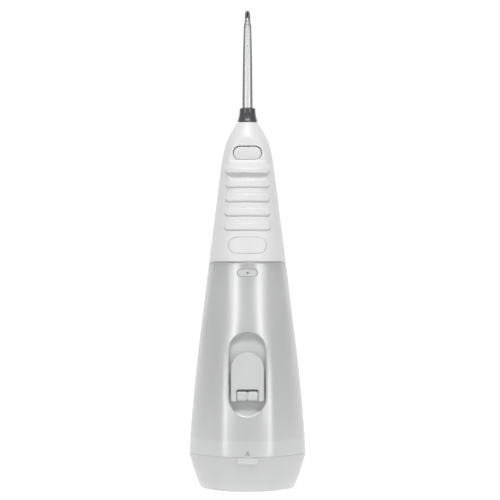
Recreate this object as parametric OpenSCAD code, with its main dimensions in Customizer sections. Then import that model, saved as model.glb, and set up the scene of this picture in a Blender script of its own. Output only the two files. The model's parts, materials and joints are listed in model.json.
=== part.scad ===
/* [Overall form] */
// Half width of the body where the reservoir meets its base cap
seam_half_w = 35; // [34:0.5:36]
// Half width of the body at the floor
floor_half_w = 27.6; // [26:0.2:29]
// Depth of the body as a share of its width below the waist
depth_share = 0.88; // [0.84:0.01:0.92]
// Height of the joint between base cap and reservoir
seam_z = 21; // [20:0.5:22]
// Height of the parting line between reservoir and handle
part_z = 135.5; // [134:0.5:137]
// Height of the top rim of the handle
rim_z = 219; // [218:0.5:220]
// Wall thickness of the shells
wall = 2; // [1.8:0.1:2.2]

/* [Handle] */
// Radius of the shoulder corners where the handle wraps the reservoir
shoulder_r = 3.8; // [3:0.2:4.5]
// Depth position of the seam between the front and rear handle shells
shell_seam_y = 2; // [1:0.5:3]
// Number of grip ribs under the finger stop
rib_count = 4; // [3:1:4]
// Distance between grip ribs
rib_pitch = 8.45; // [8.2:0.05:8.6]
// Half width of the finger stop
stop_half_w = 12.7; // [12:0.1:13.2]

/* [Eject button] */
// Width of the eject button
eject_w = 16.5; // [15:0.5:17]
// Height of the eject button
eject_h = 7.6; // [7.4:0.2:8.2]
// Centre height of the eject button
eject_z = 200.1; // [199.8:0.1:200.6]
// Travel of the eject button
eject_travel = 1.8; // [1.2:0.1:1.8]

/* [Jet tip] */
// Radius of the round stem that plugs into the handle
stem_r = 3.1; // [3:0.05:3.15]
// Height of the highest point of the bent nozzle
tip_top = 287; // [285:0.5:289]
// Radius of the stem at the foot of the bend
neck_r = 1.9; // [1.7:0.1:2.1]
// Radius of the centre line of the bend
bend_r = 7.4; // [7:0.2:8]

/* [Reservoir door] */
// Width of the recess around the fill door
pocket_w = 22.2; // [21.6:0.2:22.6]
// Height of the recess around the fill door
pocket_h = 49.9; // [49:0.1:50.5]
// Centre height of the recess around the fill door
pocket_z = 69.45; // [69:0.05:70]
// Width of the fill door
door_w = 19.3; // [18.9:0.1:19.5]
// Radius of the door's hinge pin
door_pin_r = 0.9; // [0.8:0.05:1]

/* [Pump drive] */
// Gear module
gear_module = 0.5; // [0.5:0.1:0.5]
// Teeth on the motor pinion
pinion_teeth = 10; // [10:1:10]
// Teeth on the crank gear
crank_teeth = 28; // [28:1:28]
// Half of the piston stroke
crank_throw = 2.5; // [2:0.1:2.5]

/* [Charging port] */
// Width of the port cover
cover_w = 22.5; // [22:0.1:23]
// Height of the port cover
cover_h = 9.6; // [9.2:0.1:9.8]
// Centre height of the port cover
cover_z = 145.3; // [145:0.1:146]

/* [Hidden] */
$fn = 48;
ring_points = 64;
edge_soft = 0.2;
corner_power = 6;
round_low_z = 95;
round_high_z = 165;
skin_gap = 0.25;
fit_gap = 0.05;

// Colours
white = [0.93, 0.93, 0.93];
smoke = [0.72, 0.73, 0.74, 0.6];
smoke_solid = [0.74, 0.75, 0.76];
dark = [0.30, 0.31, 0.32];
rubber = [0.62, 0.63, 0.64];
steel = [0.75, 0.76, 0.78];
brass = [0.80, 0.65, 0.30];
board = [0.10, 0.38, 0.20];

// Half width of the body against height, below and above the base joint
base_widths = [[0, floor_half_w], [8, 31], [seam_z, seam_half_w]];
upper_widths = [
  [seam_z, seam_half_w], [45, 33.3], [80, 29.8], [110, 26.1], [135, 23.1], [165, 19.2],
  [188, 16.4], [199, 14.7], [206, 13], [210, 11.3], [rim_z, 6.2]
];
// Half width of the flat rear face against height
flat_widths = [[0, 11.5], [45, 12.2], [80, 11.6], [110, 8.6], [135, 7], [rim_z, 4]];
// Heights of the sections that each shell is lofted through
base_levels = [0, 1.2, 4, 8, 14, seam_z];
reservoir_levels = [seam_z + skin_gap, 30, 40, 52, 64, 76, 88, 100, 112, 124, part_z];
handle_levels = [131, 140, 149, 158, 167, 176, 185, 192, 198, 203, 206.5, 209, 211.5, 215, rim_z];

// Handle rear details
facet_y = 11.3;
facet_z = 194;
stop_low_z = 188.2;
stop_high_z = 193.5;
stop_tip_y = 17;
stop_stand = 1.45;
rib_h = 4.5;
rib_stand = 0.9;
first_rib_z = 182.05;
bore_low_z = 205;
bush_top_z = 216.6;
bush_r = 6;
collar_r = 5.05;

// Neck between handle and reservoir
neck_low_z = 118;
neck_inset = 2.3;
bulkhead_low_z = 135.9;
bulkhead_top_z = 138.4;
release_z = 129;
release_w = 12;
release_h = 4.2;
release_y = 20.75;
release_thick = 2.3;

// Drive layout, seen from above
motor_x = -5;
motor_r = 8.5;
motor_low_z = 138.8;
chassis_low_z = 162;
chassis_top_z = 164;
gear_low_z = 165;
gear_top_z = 168;
crank_x = motor_x + gear_module * (pinion_teeth + crank_teeth) / 2;
yoke_low_z = 172.5;
yoke_top_z = 174.5;
pump_z = (yoke_low_z + yoke_top_z) / 2;
pump_bore_r = 3.1;
pump_r = 4.6;
valve_top_z = 183.2;
tube_x = 2;
tube_y = 9.5;
tube_r = 2.2;
hose_r = 1.7;
hose_z = 180.9;
board_y = 12.6;
latch_low_z = 199.2;
latch_top_z = 200.8;

function span(t, k, i = 0) = (i >= len(k) - 2 || t < k[i + 1][0]) ? i : span(t, k, i + 1);
function rise(k, i) =
  let (a = max(i - 1, 0), b = min(i + 1, len(k) - 1)) (k[b][1] - k[a][1]) / (k[b][0] - k[a][0]);
// Smooth curve through a list of [position, value] pairs
function spline(t, k) =
  let (
    i = span(t, k),
    h = k[i + 1][0] - k[i][0],
    u = (t - k[i][0]) / h
  )
  (2 * u * u * u - 3 * u * u + 1) * k[i][1] + (u * u * u - 2 * u * u + u) * h * rise(k, i)
  + (3 * u * u - 2 * u * u * u) * k[i + 1][1] + (u * u * u - u * u) * h * rise(k, i + 1);

function half_w(z) = z < seam_z ? spline(z, base_widths) : spline(z, upper_widths);
function share(z) = depth_share + (1 - depth_share) * max(0, min(1, (z - 135) / (rim_z - 135)));
function half_d(z) = half_w(z) * share(z);
function flat_half(z) = spline(z, flat_widths);
function ease(u) = let (t = max(0, min(1, u))) t * t * (3 - 2 * t);
// 0 keeps the hexagon, 1 makes an ellipse: the reservoir is angular and the grip is oval
function roundness(z) = ease((z - round_low_z) / (round_high_z - round_low_z));

// Distance from the axis to the skin in direction a: a soft hexagon that turns into an ellipse
function reach(a, w, d, f, m) =
  let (
    c = abs(cos(a)),
    s = abs(sin(a)),
    face = s / d,
    side = c / w + (1 - f / w) / d * (sqrt(s * s + edge_soft * edge_soft * c * c) - edge_soft * c),
    hex = pow(pow(face, corner_power) + pow(side, corner_power), -1 / corner_power),
    oval = 1 / sqrt(c * c / (w * w) + s * s / (d * d))
  ) hex + (oval - hex) * m;

// Outline of the body at height z, moved inwards by inset
function outline(z, inset) =
  let (w = half_w(z) - inset, d = half_d(z) - inset, f = flat_half(z) * w / half_w(z), m = roundness(z))
  [for (i = [0:ring_points - 1])
    let (a = 360 * i / ring_points, r = reach(a, w, d, f, m)) [r * cos(a), r * sin(a)]];

module section(z, inset = 0) polygon(outline(z, inset));

// Depth of the skin on the middle line
function skin_y(z) = reach(90, half_w(z), half_d(z), flat_half(z), roundness(z));

// Slice of the body between two heights
module slice(low, high, inset) {
  n = ring_points;
  low_ring = [for (p = outline(low, inset)) [p[0], p[1], low]];
  high_ring = [for (p = outline(high, inset)) [p[0], p[1], high]];
  bottom = [for (i = [0:n - 1]) i];
  top = [for (i = [n - 1:-1:0]) n + i];
  sides = [for (i = [0:n - 1]) let (k = (i + 1) % n) [i, n + i, n + k, k]];
  hull() polyhedron(concat(low_ring, high_ring), concat([bottom, top], sides));
}

// Solid through the body's sections at the given heights
module loft(levels, inset = 0)
  for (i = [0:len(levels) - 2]) slice(levels[i], levels[i + 1], inset);

// Flat bar with half-round ends, lying in XZ and running from y0 to y1
module pill_y(w, h, y0, y1) {
  translate([-(w - h) / 2, y0, -h / 2]) cube([w - h, y1 - y0, h]);
  for (s = [-1, 1]) translate([s * (w - h) / 2, y0, 0]) rotate([-90, 0, 0]) cylinder(h = y1 - y0, d = h);
}

// Upright bar with half-round ends, lying in XZ and running from y0 to y1
module slot_y(w, h, y0, y1) {
  translate([-w / 2, y0, -(h - w) / 2]) cube([w, y1 - y0, h - w]);
  for (s = [-1, 1]) translate([0, y0, s * (h - w) / 2]) rotate([-90, 0, 0]) cylinder(h = y1 - y0, d = w);
}

module rod_x(r, x0, x1) translate([x0, 0, 0]) rotate([0, 90, 0]) cylinder(h = x1 - x0, r = r);
module rod_y(r, y0, y1) translate([0, y0, 0]) rotate([-90, 0, 0]) cylinder(h = y1 - y0, r = r);
module rod_z(r, z0, z1) translate([0, 0, z0]) cylinder(h = z1 - z0, r = r);
module block(x, y, z) translate([x[0], y[0], z[0]]) cube([x[1] - x[0], y[1] - y[0], z[1] - z[0]]);

// Places its children on the rear skin at height z, with local Y pointing into the body
module rear_skin(z) {
  lean = atan((skin_y(z - 20) - skin_y(z + 20)) / 40);
  translate([0, -skin_y(z), z]) rotate([-lean, 0, 0]) children();
}

// Everything below the parting line, with the rounded shoulders of the reservoir
module below_parting(top, grow = 0) {
  side = half_w(part_z - shoulder_r) + grow;
  rotate([90, 0, 0]) translate([0, 0, -40]) linear_extrude(80) {
    translate([-50, seam_z - 10]) square([100, top - shoulder_r - seam_z + 10]);
    translate([-(side - shoulder_r), top - shoulder_r - 1]) square([2 * (side - shoulder_r), shoulder_r + 1]);
    for (s = [-1, 1]) translate([s * (side - shoulder_r), top - shoulder_r]) circle(r = shoulder_r);
  }
}

// Slab that follows the rear skin at height z, in the frame of rear_skin, between two depths
module skin_band(z, h, outer, inner) translate([0, skin_y(z), -h / 2]) linear_extrude(h) difference() {
  section(z, outer);
  section(z, inner);
}

// Closed helical wire along Z, standing on z = 0
module coil(r, wire_r, pitch, turns) {
  steps = 14;
  sides = 6;
  n = steps * turns;
  function wire_point(i, j) =
    let (a = 360 * i / steps, b = 360 * j / sides, q = r + wire_r * cos(b))
      [q * cos(a), q * sin(a), wire_r + pitch * i / steps + wire_r * sin(b)];
  points = [for (i = [0:n]) for (j = [0:sides - 1]) wire_point(i, j)];
  skin = [for (i = [0:n - 1]) for (j = [0:sides - 1]) let (k = (j + 1) % sides)
    [i * sides + j, i * sides + k, (i + 1) * sides + k, (i + 1) * sides + j]];
  start = [for (j = [sides - 1:-1:0]) j];
  end = [for (j = [0:sides - 1]) n * sides + j];
  polyhedron(points, concat([start, end], skin));
}

// Spur gear outline with relieved flanks
module gear_outline(teeth) {
  pitch_r = gear_module * teeth / 2;
  root_r = pitch_r - 1.25 * gear_module;
  tip_r = pitch_r + 0.9 * gear_module;
  half = 90 / teeth;
  function at(r, a) = [r * cos(a), r * sin(a)];
  polygon([for (i = [0:teeth - 1]) let (c = 360 * i / teeth)
    each [at(root_r, c - half * 1.15), at(pitch_r, c - half * 0.8), at(tip_r, c - half * 0.35),
          at(tip_r, c + half * 0.35), at(pitch_r, c + half * 0.8), at(root_r, c + half * 1.15)]]);
}

// ---- Base cap ----

module reservoir_base() color(smoke_solid) {
  lip_levels = [seam_z - 4, seam_z + 3, seam_z + 9.5];
  floor_top = 2.4;
  difference() {
    union() {
      loft(base_levels);
      loft(lip_levels, wall + 0.3);
    }
    loft([floor_top, 8, seam_z - 1], wall);
    loft([seam_z - 1.2, seam_z + 3, seam_z + 10], wall + 1.9);
    translate([0, 0, -1]) linear_extrude(2.2) section(0, 5);
    seal_groove(0.7);
  }
}

// Ring just inside the reservoir wall that the lip carries
module seal_groove(depth) {
  translate([0, 0, seam_z + 4]) linear_extrude(2) difference() {
    section(seam_z + 5, wall - 1);
    section(seam_z + 5, wall + 0.3 + depth);
  }
}

module base_seal() color(rubber) translate([0, 0, seam_z + 4.1]) linear_extrude(1.8) difference() {
  section(seam_z + 5, wall + 0.25);
  section(seam_z + 5, wall + 0.95);
}

module base_tab() color(smoke_solid) {
  tab_half_w = 6.35;
  tab_low = 16.7;
  tab_high = 20.3;
  tab_y = -skin_y(tab_high);
  block([-tab_half_w, tab_half_w], [tab_y - 0.15, tab_y], [tab_low, tab_high]);
}

module foot_ring() color(rubber) linear_extrude(1.15) difference() {
  section(0, 5.1);
  section(0, 9);
}

// ---- Reservoir ----

module reservoir_body() color(smoke) difference() {
  intersection() {
    loft(reservoir_levels);
    below_parting(part_z - skin_gap);
  }
  loft([for (z = reservoir_levels) z == part_z ? part_z + 1 : z == reservoir_levels[0] ? z - 1 : z], wall);
  rear_skin(pocket_z) slot_y(pocket_w + 0.2, pocket_h + 0.2, -4, 6);
  rear_skin(pocket_z) slot_y(pocket_w + 2 * tub_rim + 0.1, pocket_h + 2 * tub_rim + 0.1, tub_face - 0.05, 10);
  rear_skin(release_z) pill_y(release_w + 0.6, release_h + 0.6, -4, 6);
}

// Depths below the rear skin of the tub that closes the recess around the fill door
tub_face = 2.3;
tub_floor = 4.8;
tub_deep = 6.9;
tub_rim = 1.2;
hinge_depth = 2.6;
hinge_rise = -12.5;
ramp_top = -16.8;
fill_w = 12;
fill_h = 15;
fill_rise = 2;

module fill_port_frame() color(smoke_solid) rear_skin(pocket_z) {
  step_rise = -8.7;
  lug_in = 0.5;
  lug_out = 6.1;
  lug_face = 1.1;
  lug_r = 1.2;
  half_h = pocket_h / 2;
  difference() {
    union() {
      slot_y(pocket_w + 2 * tub_rim, pocket_h + 2 * tub_rim, tub_face, tub_floor + 1.4);
      intersection() {
        slot_y(pocket_w + 2 * tub_rim, pocket_h + 2 * tub_rim, tub_face, tub_deep + 1.3);
        block([-20, 20], [tub_face, 12], [-half_h - 5, step_rise + 1.2]);
      }
    }
    slot_y(pocket_w, pocket_h, tub_face - 1, tub_floor);
    intersection() {
      slot_y(pocket_w, pocket_h, tub_face - 1, tub_deep);
      block([-20, 20], [0, tub_deep], [-half_h - 5, step_rise]);
    }
    translate([0, 0, fill_rise]) pill_like(fill_w, fill_h, tub_floor - 1, tub_floor + 3);
  }
  ramp();
  for (s = [-1, 1]) difference() {
    translate([s * (lug_in + lug_out) / 2, 0, hinge_rise]) union() {
      for (z = [-1.7, 1.4]) translate([0, lug_face + lug_r, z])
        rod_x(lug_r, -(lug_out - lug_in) / 2, (lug_out - lug_in) / 2);
      block([-(lug_out - lug_in) / 2, (lug_out - lug_in) / 2], [lug_face, tub_deep], [-1.7, 1.4]);
      block([-(lug_out - lug_in) / 2, (lug_out - lug_in) / 2], [lug_face + lug_r, tub_deep],
        [-1.7 - lug_r, 1.4 + lug_r]);
    }
    translate([0, hinge_depth, hinge_rise]) rod_x(door_pin_r + 0.02, -8, 8);
  }
}

// Slope that leads out of the bottom of the recess
module ramp() intersection() {
  slot_y(pocket_w + 0.2, pocket_h + 0.2, tub_face, tub_deep + 1);
  rotate([90, 0, 90]) translate([0, 0, -pocket_w]) linear_extrude(2 * pocket_w) polygon([
    [tub_deep + 0.5, -pocket_h / 2 - 1], [tub_face, -pocket_h / 2 - 1],
    [tub_face, -pocket_h / 2 + 1.4], [tub_deep + 0.1, ramp_top], [tub_deep + 0.5, ramp_top]
  ]);
}

// Rounded rectangle with 4 mm corners, lying in XZ
module pill_like(w, h, y0, y1, r = 4) {
  block([-w / 2 + r, w / 2 - r], [y0, y1], [-h / 2, h / 2]);
  block([-w / 2, w / 2], [y0, y1], [-h / 2 + r, h / 2 - r]);
  for (x = [-1, 1], z = [-1, 1]) translate([x * (w / 2 - r), 0, z * (h / 2 - r)]) rod_y(r, y0, y1);
}

module door_hinge_pin() color(steel) rear_skin(pocket_z)
  translate([0, hinge_depth, hinge_rise]) rod_x(door_pin_r, -9.4, 9.4);

module fill_door() color(smoke_solid) rear_skin(pocket_z) {
  door_low = -15.85;
  door_high = 12.95;
  door_r = door_w / 2;
  slot_half = 6.45;
  slot_high = -8.85;
  door_face = 0.9;
  door_back = 3;
  difference() {
    union() {
      block([-door_r, door_r], [door_face, door_back], [door_low, door_high - door_r]);
      translate([0, 0, door_high - door_r]) rod_y(door_r, door_face, door_back);
      for (s = [-1, 1]) translate([s * (slot_half + door_r) / 2, hinge_depth, hinge_rise])
        rod_x(1.8, -(door_r - slot_half) / 2, (door_r - slot_half) / 2);
    }
    block([-slot_half, slot_half], [-2, 8], [door_low - 3, slot_high]);
    translate([0, hinge_depth, hinge_rise]) rod_x(door_pin_r + 0.06, -12, 12);
  }
}

module door_gasket() color(rubber) rear_skin(pocket_z) translate([0, 0, fill_rise]) difference() {
  pill_like(fill_w + 4, fill_h + 3.6, 3.05, tub_floor - 0.3, 5.5);
  pill_like(fill_w + 1, fill_h + 1, 2, tub_floor + 1, 4.5);
}

module release_pad() color(smoke_solid) difference() {
  rear_skin(release_z) intersection() {
    skin_band(release_z, release_h + 2, -0.3, release_thick - 0.3);
    pill_y(release_w, release_h, -3, 12);
  }
  translate([0, 0, release_z]) rod_y(0.6, -release_y - 1, -release_y + 0.3);
}

module release_spring() color(steel) {
  leaf_y = -release_y + release_thick + 0.05;
  block([-2, 2], [leaf_y, leaf_y + 0.3], [120, 130.5]);
  block([-2, 2], [-skin_y(120) + wall + 0.5, leaf_y + 0.1], [120, 122]);
}

// ---- Handle shells ----

module handle_outer() difference() {
  union() {
    loft(handle_levels);
    finger_stop();
  }
  block([-30, 30], [-30, -facet_y], [facet_z, 230]);
}

module finger_stop() intersection() {
  rotate([90, 0, 90]) translate([0, 0, -stop_half_w]) linear_extrude(2 * stop_half_w) polygon([
    [-facet_y + 1, facet_z + 4], [-facet_y - 0.2, facet_z + 2.4], [-stop_tip_y + 0.9, stop_low_z + 3.7],
    [-stop_tip_y + 0.1, stop_low_z + 2.2], [-stop_tip_y, stop_low_z + 0.7],
    [-stop_tip_y + 0.4, stop_low_z], [-facet_y + 1, stop_low_z]
  ]);
  translate([0, 0, stop_low_z - 2]) linear_extrude(14) section(stop_low_z + 1, -stop_stand);
}

module grip_ribs() for (i = [0:rib_count - 1]) {
  z = first_rib_z - i * rib_pitch;
  translate([0, 0, z]) intersection() {
    pill_y(2 * (13.2 + 0.3 * i), rib_h, -skin_y(z) - rib_stand - 1, -skin_y(z) + 10);
    translate([0, 0, -5]) linear_extrude(10) section(z, -rib_stand);
  }
}

module handle_solid() difference() {
  union() {
    handle_outer();
    grip_ribs();
  }
  difference() {
    loft([130, 140, 149, 158, 167, 176, 185, 192, 198, 203, bore_low_z + 0.5], wall);
    block([-30, 30], [-30, -facet_y + wall - 0.2], [stop_high_z - 2, 230]);
  }
  below_parting(part_z);
  rod_z(bush_r + 0.05, bore_low_z, bush_top_z);
  rod_z(collar_r + 0.25, bore_low_z, rim_z + 2);
  translate([0, 0, eject_z]) pill_y(eject_w + 0.8, eject_h + 0.6, -20, -7);
  rear_skin(cover_z) pill_y(cover_w + 0.4, cover_h + 0.4, -4, 10);
  for (b = front_buttons) translate([0, 0, b[0]]) rod_y(button_r + 0.3, 10, 24);
  for (x = led_places) translate([x, 0, led_z]) rod_y(led_r + 0.05, 10, 24);
}

module handle_rear_shell() color(white) intersection() {
  handle_solid();
  block([-40, 40], [-40, shell_seam_y - fit_gap], [100, 240]);
}

module handle_front_shell() color(white) intersection() {
  handle_solid();
  block([-40, 40], [shell_seam_y, 40], [100, 240]);
}

// Bulkhead that closes the handle, with the skirt that plugs into the reservoir neck
module handle_base() color(smoke_solid) difference() {
  union() {
    translate([0, 0, bulkhead_low_z]) linear_extrude(bulkhead_top_z - bulkhead_low_z)
      section(139, wall + 0.15);
    translate([0, 0, neck_low_z]) linear_extrude(bulkhead_low_z - neck_low_z) section(135, neck_inset);
  }
  translate([0, 0, neck_low_z - 1]) linear_extrude(bulkhead_low_z - neck_low_z + 1)
    section(135, neck_inset + 1.6);
  block([-7.6, 7.6], [-30, -10], [neck_low_z - 1, 132.3]);
  translate([tube_x, tube_y, 0]) rod_z(tube_r + fit_gap, 130, 140);
  neck_gasket_groove();
}

module neck_gasket_groove() translate([0, 0, 133]) linear_extrude(1.9) difference() {
  section(135, 1);
  section(135, neck_inset + 0.7);
}

module neck_gasket() color(rubber) translate([0, 0, 133.1]) linear_extrude(1.7) difference() {
  section(135, neck_inset - 0.05);
  section(135, neck_inset + 0.65);
}

// ---- Pump drive ----

module chassis_plate() color(smoke_solid) difference() {
  union() {
    translate([0, 0, chassis_low_z]) linear_extrude(chassis_top_z - chassis_low_z) section(164.5, wall + 0.1);
    translate([crank_x, 0, 0]) rod_z(1.5, chassis_top_z - 1, gear_top_z);
    translate([crank_x, 0, 0]) rod_z(2.6, chassis_top_z - 1, gear_low_z - 0.1);
  }
  translate([motor_x, 0, 0]) rod_z(1.8, 160, 170);
  for (s = [-1, 1]) translate([motor_x, s * 5.5, 0]) rod_z(1.05, 160, 170);
  translate([tube_x, tube_y, 0]) rod_z(tube_r + fit_gap, 160, 170);
  block([-5.4, 5.4], [board_y - 0.4, 30], [160, 170]);
}

module motor() color(steel) translate([motor_x, 0, 0]) difference() {
  union() {
    rod_z(motor_r, motor_low_z, chassis_low_z - 0.1);
    rod_z(1.7, chassis_low_z - 1, chassis_top_z - 0.4);
  }
  rod_z(1.06, chassis_low_z - 6, chassis_top_z + 1);
  for (s = [-1, 1]) translate([0, s * 5.5, 0]) rod_z(1, chassis_low_z - 4, chassis_top_z);
}

module motor_screws() color(steel) for (s = [-1, 1]) translate([motor_x, s * 5.5, 0]) {
  rod_z(0.98, chassis_low_z - 3, chassis_top_z);
  rod_z(1.7, chassis_top_z, chassis_top_z + 1.1);
}

module motor_pinion() color(brass) translate([motor_x, 0, 0]) {
  rod_z(1, chassis_low_z - 5.5, gear_top_z + 0.3);
  translate([0, 0, gear_low_z]) linear_extrude(gear_top_z - gear_low_z) gear_outline(pinion_teeth);
}

module crank_gear() color(white) translate([crank_x, 0, 0]) {
  translate([0, 0, gear_low_z]) linear_extrude(gear_top_z - gear_low_z) difference() {
    rotate(180 / crank_teeth) gear_outline(crank_teeth);
    circle(r = 1.56);
  }
  translate([0, crank_throw + 0.6, 0]) rod_z(0.9, gear_top_z, yoke_low_z - 0.3);
}

// Slotted crosshead with its rod and piston, mid stroke at rest
module piston() color(smoke_solid) {
  throw_y = crank_throw + 0.6;
  difference() {
    block([crank_x - 2.6, crank_x + 2.6], [-throw_y - 2.2, throw_y + 2.2], [yoke_low_z, yoke_top_z]);
    block([crank_x - 1.1, crank_x + 1.1], [-throw_y - 1.1, throw_y + 1.1], [yoke_low_z - 1, yoke_top_z + 1]);
  }
  translate([0, 0, pump_z]) {
    rod_x(0.95, -5.2, crank_x - 2.5);
    difference() {
      rod_x(pump_bore_r - 0.15, -7.7, -5.2);
      difference() {
        rod_x(pump_bore_r + 1, -7, -5.9);
        rod_x(pump_bore_r - 0.75, -8, -5);
      }
    }
  }
}

module piston_seal() color(rubber) translate([0, 0, pump_z]) difference() {
  rod_x(pump_bore_r - 0.06, -6.95, -5.95);
  rod_x(pump_bore_r - 0.74, -8, -5);
}

module pump_cylinder() color(smoke_solid) difference() {
  union() {
    translate([0, 0, pump_z]) rod_x(pump_r, -11.8, -2.6);
    block([-11, -3], [-3.5, 3.5], [pump_z, pump_z + pump_r + 0.1]);
  }
  translate([0, 0, pump_z]) rod_x(pump_bore_r, -10.6, -1);
  for (x = [-9.6, -4.6]) translate([x, 0, 0]) rod_z(0.7, pump_z, pump_z + 10);
}

module valve_block() color(smoke_solid) difference() {
  block([-11, -3], [-3.5, 3.5], [pump_z + pump_r + 0.15, valve_top_z]);
  for (x = [-9.6, -4.6]) translate([x, 0, 0]) {
    rod_z(0.7, pump_z, valve_top_z - 1);
    rod_z(1.25, pump_z + pump_r + 1.2, pump_z + pump_r + 2.6);
  }
  translate([-9.6, 0, 0]) rod_z(0.7, pump_z, valve_top_z + 1);
  translate([0, 0, hose_z]) rod_x(0.7, -4.6, 0);
}

module valve_discs() color(rubber) for (x = [-9.6, -4.6]) translate([x, 0, 0])
  rod_z(1.15, pump_z + pump_r + 1.4, pump_z + pump_r + 2);

module suction_tube() color(smoke_solid) translate([tube_x, tube_y, 0]) difference() {
  rod_z(tube_r, 8, 171);
  rod_z(tube_r - 0.8, 7, 172);
}

module inlet_filter() color(dark) translate([tube_x, tube_y, 0]) difference() {
  rod_z(4.2, 3.4, 10);
  rod_z(tube_r + 0.02, 7.98, 11);
  rod_z(3.4, 3, 7);
  for (a = [0:30:330]) rotate(a) block([3, 5], [-0.35, 0.35], [4.2, 6.4]);
}

// Run of round hose through a list of corners that turn at right angles
module hose_solid(path, r) {
  for (i = [0:len(path) - 2]) {
    d = path[i + 1] - path[i];
    translate(path[i]) if (d[0] != 0) rod_x(r, min(0, d[0]), max(0, d[0]));
    else if (d[1] != 0) rod_y(r, min(0, d[1]), max(0, d[1]));
    else rod_z(r, min(0, d[2]), max(0, d[2]));
  }
  for (i = [1:len(path) - 2]) translate(path[i]) sphere(r = r);
}

inlet_path = [[tube_x, tube_y, 171.05], [tube_x, tube_y, hose_z], [tube_x, 0, hose_z], [-2.95, 0, hose_z]];
outlet_path = [[-9.6, 0, valve_top_z + 0.05], [-9.6, 0, 185.4], [0, 0, 185.4], [0, 0, 187.45]];

module inlet_hose() color(smoke_solid) difference() {
  hose_solid(inlet_path, hose_r);
  hose_solid(inlet_path, 0.9);
}

module outlet_tube() color(smoke_solid) difference() {
  hose_solid(outlet_path, 1.3);
  hose_solid(outlet_path, 0.7);
}

module nozzle_seat() color(smoke_solid) difference() {
  rod_z(6.2, 187.5, 198.6);
  rod_z(stem_r + 0.1, 189, 199);
  rod_z(0.7, 187, 190);
}

module collar_bush() color(smoke_solid) difference() {
  rod_z(bush_r, 206.8, bush_top_z - 0.1);
  rod_z(collar_r + 0.05, 206, bush_top_z + 1);
}

// ---- Jet tip ----

module tip_collar() color(dark) rotate_extrude() {
  flare_top = 227.7;
  flare_low = rim_z + 0.4;
  flare_r = 6.15;
  top_r = 4.8;
  bore_r = stem_r + 0.25;
  // Concave side: the radius falls off quickly at first, then runs up straight
  side = [for (i = [0:8]) [top_r + (flare_r - top_r) * pow(1 - i / 8, 2.2),
    flare_low + (flare_top - 0.7 - flare_low) * i / 8]];
  polygon(concat(
    [[bore_r, 207.5], [collar_r, 207.5], [collar_r, flare_low]], side,
    [[top_r - 0.2, flare_top - 0.25], [top_r - 0.7, flare_top], [bore_r, flare_top]]
  ));
}

module jet_tip() color([0.85, 0.88, 0.9, 0.5]) {
  tail_z = 189.5;
  nozzle_r = 1.45;
  bend_z = tip_top - nozzle_r - bend_r;
  bore_r = 1;
  jet_r = 0.5;
  difference() {
    union() {
      rotate_extrude() polygon([
        [0, tail_z], [stem_r - 0.3, tail_z], [stem_r, tail_z + 0.5], [stem_r, 191], [2.5, 191],
        [2.5, 192.3], [stem_r, 192.3], [stem_r, 230], [2.75, 259], [2.3, 274.5], [2.25, bend_z - 1],
        [neck_r, bend_z - 0.4], [neck_r, bend_z], [0, bend_z]
      ]);
      bend(nozzle_r, bend_z);
      translate([0, bend_r, bend_z + bend_r]) rotate([-90, 0, 0])
        cylinder(h = 4.6, r1 = nozzle_r - 0.05, r2 = 1.2);
    }
    rod_z(bore_r, tail_z - 1, bend_z - 1);
    bend(jet_r, bend_z);
    translate([0, bend_r, bend_z + bend_r]) rod_y(jet_r - 0.05, 0, 6);
    rod_z(jet_r + 0.1, bend_z - 2, bend_z);
  }
}

// Quarter turn from straight up to +Y
module bend(r, z) translate([0, bend_r, z]) rotate([90, 0, -90])
  rotate_extrude(angle = 90) translate([bend_r, 0]) circle(r = r);

module tip_oring() color(rubber) difference() {
  rod_z(stem_r + 0.05, 191.1, 192.2);
  rod_z(2.52, 190, 193);
}

// ---- Eject button ----

module eject_button() color(white) translate([0, 0, eject_z])
  pill_y(eject_w, eject_h, -facet_y - 0.7, -8.6);

module eject_latch() color(smoke_solid) translate([0, 0, latch_low_z])
  linear_extrude(latch_top_z - latch_low_z) difference() {
    translate([-5, -8.55]) square([10, 16.4]);
    circle(r = stem_r + 0.3);
    translate([0, -eject_travel]) circle(r = stem_r + 0.3);
    translate([-stem_r - 0.3, -eject_travel]) square([2 * stem_r + 0.6, eject_travel]);
  }

module eject_spring() color(steel) translate([0, 8, (latch_low_z + latch_top_z) / 2])
  rotate([-90, 0, 0]) coil(1.5, 0.2, 0.75, 4);

// ---- Electronics ----

// Height and face depth of the power button and the mode button
front_buttons = [[166, 17.9], [151, 19.1]];
button_r = 4.5;
button_back_y = 16;
led_z = 158.6;
led_r = 0.8;
led_places = [-3.2, 0, 3.2];

module battery_cell() color([0.25, 0.45, 0.65]) block([4.2, 11.2], [-6.2, 5.6], [motor_low_z, 161.6]);

module circuit_board() color(board) difference() {
  block([-5, 5], [board_y, board_y + 1.2], [140, 175]);
  for (z = [142, 173]) translate([3.4, 0, z]) rod_y(0.8, board_y - 1, board_y + 2);
}

module tact_switches() color(dark) for (b = front_buttons) {
  block([-1.75, 1.75], [board_y + 1.2, board_y + 1.7], [b[0] - 1.75, b[0] + 1.75]);
  translate([0, 0, b[0]]) rod_y(1, board_y + 1.7, board_y + 2.2);
}

module front_button(b) translate([0, 0, b[0]]) rod_y(button_r, button_back_y, b[1]);
module power_button() color(white) front_button(front_buttons[0]);
module mode_button() color(white) front_button(front_buttons[1]);

module led_window() color([0.7, 0.85, 0.95]) for (x = led_places)
  translate([x, 0, led_z]) rod_y(led_r, 15.4, skin_y(led_z) - 0.2);

// ---- Charging port ----

// Depths below the rear skin of the charging port's recess
recess_face = 2.35;
recess_floor = 4.8;
recess_back = 5.9;
strap_rise = -3;
strap_w = 4;
strap_thick = 1;

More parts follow.
